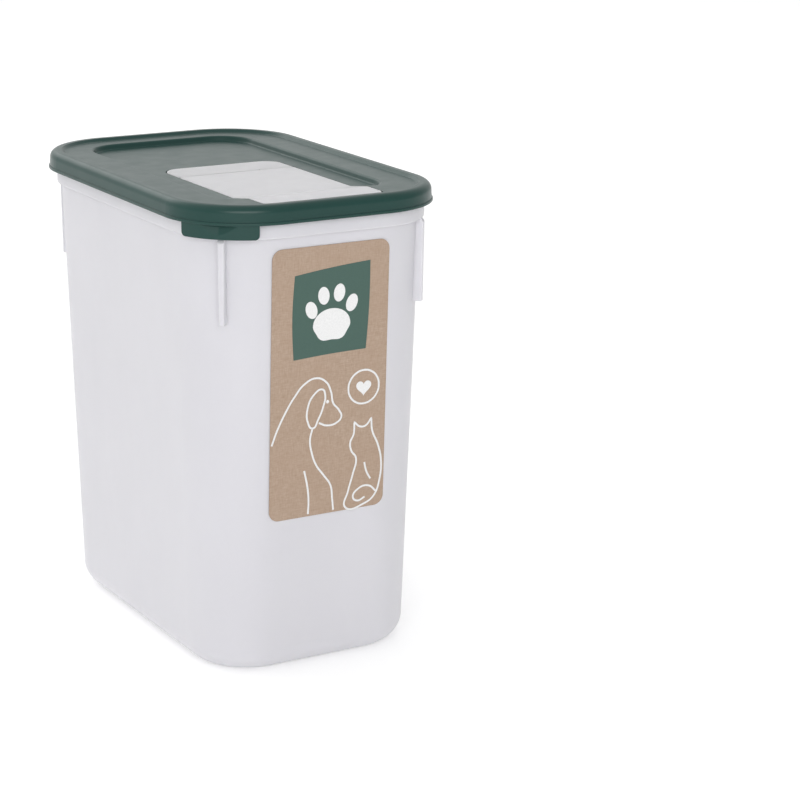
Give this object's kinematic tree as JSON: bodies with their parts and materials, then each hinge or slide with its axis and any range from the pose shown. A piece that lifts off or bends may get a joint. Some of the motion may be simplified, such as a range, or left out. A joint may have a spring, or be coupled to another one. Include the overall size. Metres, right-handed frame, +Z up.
{
  "type": "pet food bin",
  "caption": "Tall translucent dry-food bin with drafted walls, a green lift-off lid with a sunk tray, a flip-up pouring flap on a living hinge, and a kraft front label.",
  "frame": {"origin": "middle of the footprint, on the surface that the bin stands on", "axes": "+Z up; -Y to the front, where the label and the flap's free end are; +X to the right seen from the front, along the flap's hinge"},
  "size_m": [0.124, 0.1902, 0.2094],
  "materials": {
    "clear_plastic": "frosted translucent polypropylene, smooth and softly glossy",
    "flap_plastic": "translucent polypropylene, satin",
    "green_plastic": "dark green polypropylene, semi-gloss",
    "label_paper": "uncoated kraft paper with a fine woven look, printed in green and white"
  },
  "bodies": {
    "bin": {"bin_body": "clear_plastic", "label": "label_paper"},
    "lid": {"lid": "green_plastic", "flap_base": "flap_plastic", "living_hinge": "flap_plastic"},
    "flap": {"pour_flap": "flap_plastic"}
  },
  "joints": [
    {"name": "lid_lift", "type": "slide", "parent": "bin", "child": "lid", "axis": [0, 0, 1], "range_m": [0, 0.06]},
    {"name": "flap_hinge", "type": "hinge", "parent": "lid", "child": "flap", "pos_m": [0, -0.002, 0.20575], "axis": [-1, 0, 0], "range_deg": [0, 105], "deforming": ["living_hinge"]}
  ]
}
